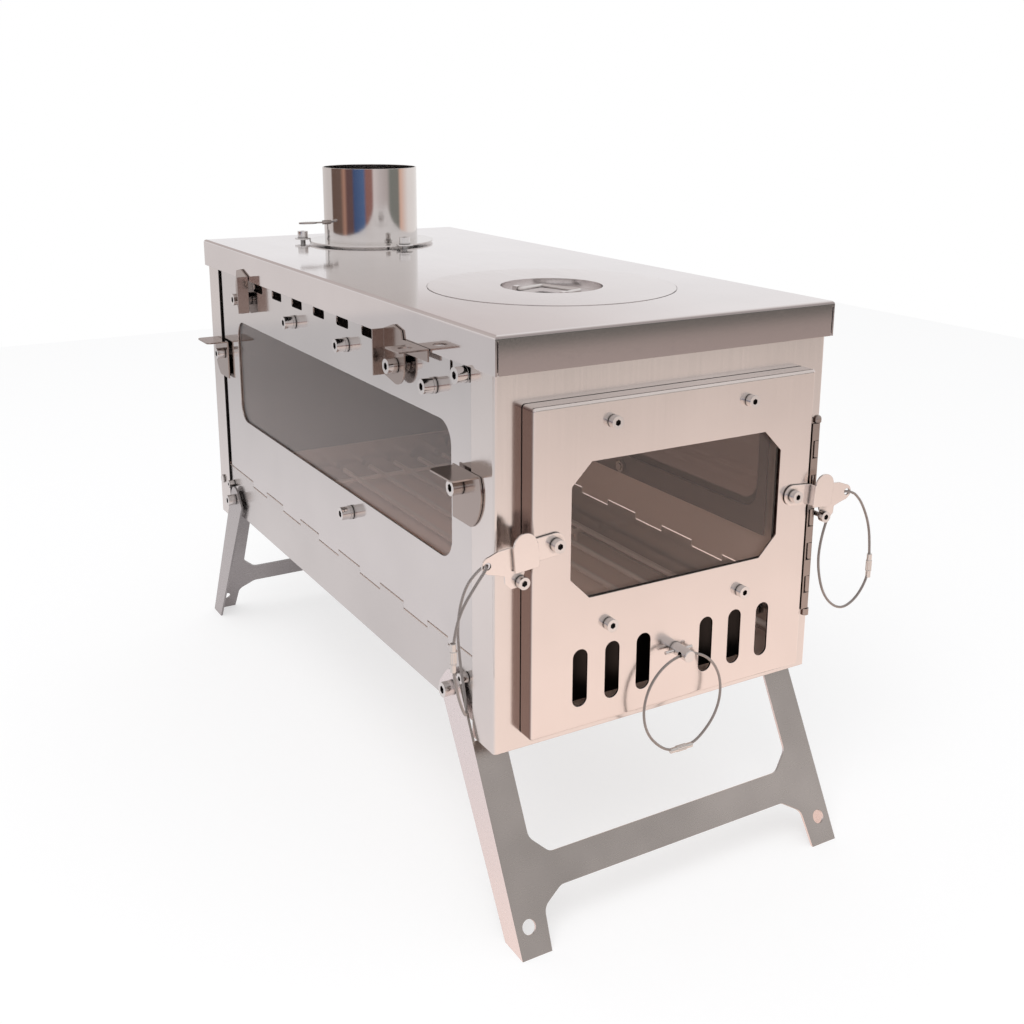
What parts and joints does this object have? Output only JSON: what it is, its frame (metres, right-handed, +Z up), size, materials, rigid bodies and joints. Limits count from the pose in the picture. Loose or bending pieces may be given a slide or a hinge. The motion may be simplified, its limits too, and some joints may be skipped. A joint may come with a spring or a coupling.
{
  "type": "tent wood stove",
  "caption": "Folding steel tent stove with glass door and side windows, air damper, cooking plate in its lid, flue collar with valve, and splayed folding legs.",
  "frame": {"origin": "on the floor, under the middle of the lid", "axes": "+Z up, -Y towards the door, +X to the right seen from the door"},
  "size_m": [0.2885, 0.5306, 0.384],
  "materials": {
    "lid_steel": "rolled stainless sheet, satin",
    "body_steel": "bright stainless sheet",
    "door_steel": "bright stainless sheet",
    "leg_steel": "stainless sheet, satin",
    "clip_steel": "stainless sheet, satin",
    "flue_steel": "polished thin stainless tube",
    "grate_steel": "plain round rod",
    "fastener_steel": "stainless screws and nuts",
    "cable_steel": "stranded wire rope",
    "window_glass": "clear heat-proof glass"
  },
  "bodies": {
    "stove": {"front_panel": "body_steel", "back_panel": "body_steel", "base_tray": "body_steel", "left_side_panel": "body_steel", "right_side_panel": "body_steel", "left_window_glass": "window_glass", "right_window_glass": "window_glass", "left_glass_frame": "body_steel", "right_glass_frame": "body_steel", "side_screws": "fastener_steel", "side_nuts": "fastener_steel", "fire_grate": "grate_steel", "hinge_body_leaf": "door_steel", "hinge_pin": "fastener_steel", "keeper_screws": "fastener_steel", "leg_pivot_screws": "fastener_steel", "leg_spacers": "fastener_steel", "leg_stop_studs": "fastener_steel", "clip_pivot_screws": "fastener_steel", "clip_spacers": "fastener_steel"},
    "stove_lid": {"lid": "lid_steel", "flue_collar": "flue_steel", "flue_screws": "fastener_steel", "flue_washers": "fastener_steel", "flue_nuts": "fastener_steel"},
    "cooking_plate": {"cook_plate": "lid_steel", "handle_lugs": "lid_steel"},
    "bail": {"plate_handle": "fastener_steel"},
    "flue_valve": {"flue_damper": "flue_steel", "flue_damper_lever": "clip_steel"},
    "door": {"door_shell": "door_steel", "door_glass": "window_glass", "glass_retainer": "door_steel", "door_screws": "fastener_steel", "door_nuts": "fastener_steel", "hinge_door_leaf": "door_steel", "latch_pivot_screws": "fastener_steel"},
    "latch_left": {"left_latch": "clip_steel"},
    "latch_right": {"right_latch": "clip_steel"},
    "pull_ring_left": {"left_ring": "cable_steel", "left_ring_ferrule": "cable_steel"},
    "pull_ring_right": {"right_ring": "cable_steel", "right_ring_ferrule": "cable_steel"},
    "air_damper": {"damper_rod": "fastener_steel", "damper_cross_pin": "fastener_steel", "air_damper_plate": "door_steel"},
    "pull_ring_knob": {"knob_ring": "cable_steel", "knob_ring_ferrule": "cable_steel"},
    "legs_front": {"front_legs": "leg_steel"},
    "legs_rear": {"rear_legs": "leg_steel"},
    "clip_left_front": {"left_front_clip": "clip_steel"},
    "lid_clip_left_front": {"left_front_lid_clip": "clip_steel"},
    "clip_left_rear": {"left_rear_clip": "clip_steel"},
    "lid_clip_left_rear": {"left_rear_lid_clip": "clip_steel"},
    "clip_right_front": {"right_front_clip": "clip_steel"},
    "lid_clip_right_front": {"right_front_lid_clip": "clip_steel"},
    "clip_right_rear": {"right_rear_clip": "clip_steel"},
    "lid_clip_right_rear": {"right_rear_lid_clip": "clip_steel"}
  },
  "joints": [
    {"name": "door_swing", "type": "hinge", "parent": "stove", "child": "door", "pos_m": [0.0973, -0.24, 0.2015], "axis": [0, 0, 1], "range_deg": [0, 45]},
    {"name": "left_latch_swing", "type": "hinge", "parent": "door", "child": "latch_left", "pos_m": [-0.0795, -0.2437, 0.218], "axis": [0, 1, 0], "range_deg": [0, 60]},
    {"name": "right_latch_swing", "type": "hinge", "parent": "door", "child": "latch_right", "pos_m": [0.0795, -0.2437, 0.218], "axis": [0, -1, 0], "range_deg": [0, 30]},
    {"name": "left_ring_swing", "type": "hinge", "parent": "latch_left", "child": "pull_ring_left", "pos_m": [-0.11985, -0.2444, 0.21447], "axis": [0, 1, 0], "range_deg": [0, 60]},
    {"name": "right_ring_swing", "type": "hinge", "parent": "latch_right", "child": "pull_ring_right", "pos_m": [0.11985, -0.2444, 0.21447], "axis": [0, -1, 0], "range_deg": [0, 40]},
    {"name": "air_damper_slide", "type": "slide", "parent": "door", "child": "air_damper", "axis": [0, -1, 0], "range_m": [0, 0.012]},
    {"name": "knob_ring_swing", "type": "hinge", "parent": "air_damper", "child": "pull_ring_knob", "pos_m": [0, -0.2506, 0.1425], "axis": [-1, 0, 0], "range_deg": [0, 80]},
    {"name": "front_legs_fold", "type": "hinge", "parent": "stove", "child": "legs_front", "pos_m": [0, -0.188, 0.123], "axis": [1, 0, 0], "range_deg": [0, 105]},
    {"name": "rear_legs_fold", "type": "hinge", "parent": "stove", "child": "legs_rear", "pos_m": [0, 0.188, 0.123], "axis": [-1, 0, 0], "range_deg": [0, 105]},
    {"name": "lid_lift", "type": "slide", "parent": "stove", "child": "stove_lid", "axis": [0, 0, 1], "range_m": [0, 0.06]},
    {"name": "cook_plate_lift", "type": "slide", "parent": "stove_lid", "child": "cooking_plate", "axis": [0, 0, 1], "range_m": [0, 0.03]},
    {"name": "plate_handle_swing", "type": "hinge", "parent": "cooking_plate", "child": "bail", "pos_m": [-0.0104, -0.11308, 0.3237], "axis": [0.3256, -0.9455, 0], "range_deg": [0, 90]},
    {"name": "flue_damper_turn", "type": "hinge", "parent": "stove_lid", "child": "flue_valve", "pos_m": [0, 0.157, 0.343], "axis": [1, 0, 0], "range_deg": [0, 90]},
    {"name": "left_front_clip_turn", "type": "hinge", "parent": "stove", "child": "clip_left_front", "pos_m": [-0.1093, -0.198, 0.241], "axis": [-1, 0, 0], "range_deg": [0, 90]},
    {"name": "left_front_lid_clip_turn", "type": "hinge", "parent": "stove", "child": "lid_clip_left_front", "pos_m": [-0.1109, -0.125, 0.2915], "axis": [-1, 0, 0], "range_deg": [0, 90]},
    {"name": "left_rear_clip_turn", "type": "hinge", "parent": "stove", "child": "clip_left_rear", "pos_m": [-0.1093, 0.198, 0.241], "axis": [1, 0, 0], "range_deg": [0, 90]},
    {"name": "left_rear_lid_clip_turn", "type": "hinge", "parent": "stove", "child": "lid_clip_left_rear", "pos_m": [-0.1109, 0.1445, 0.291], "axis": [1, 0, 0], "range_deg": [0, 90]},
    {"name": "right_front_clip_turn", "type": "hinge", "parent": "stove", "child": "clip_right_front", "pos_m": [0.1093, -0.198, 0.241], "axis": [-1, 0, 0], "range_deg": [0, 90]},
    {"name": "right_front_lid_clip_turn", "type": "hinge", "parent": "stove", "child": "lid_clip_right_front", "pos_m": [0.1109, -0.125, 0.2915], "axis": [-1, 0, 0], "range_deg": [0, 90]},
    {"name": "right_rear_clip_turn", "type": "hinge", "parent": "stove", "child": "clip_right_rear", "pos_m": [0.1093, 0.198, 0.241], "axis": [1, 0, 0], "range_deg": [0, 90]},
    {"name": "right_rear_lid_clip_turn", "type": "hinge", "parent": "stove", "child": "lid_clip_right_rear", "pos_m": [0.1109, 0.1445, 0.291], "axis": [1, 0, 0], "range_deg": [0, 90]}
  ]
}
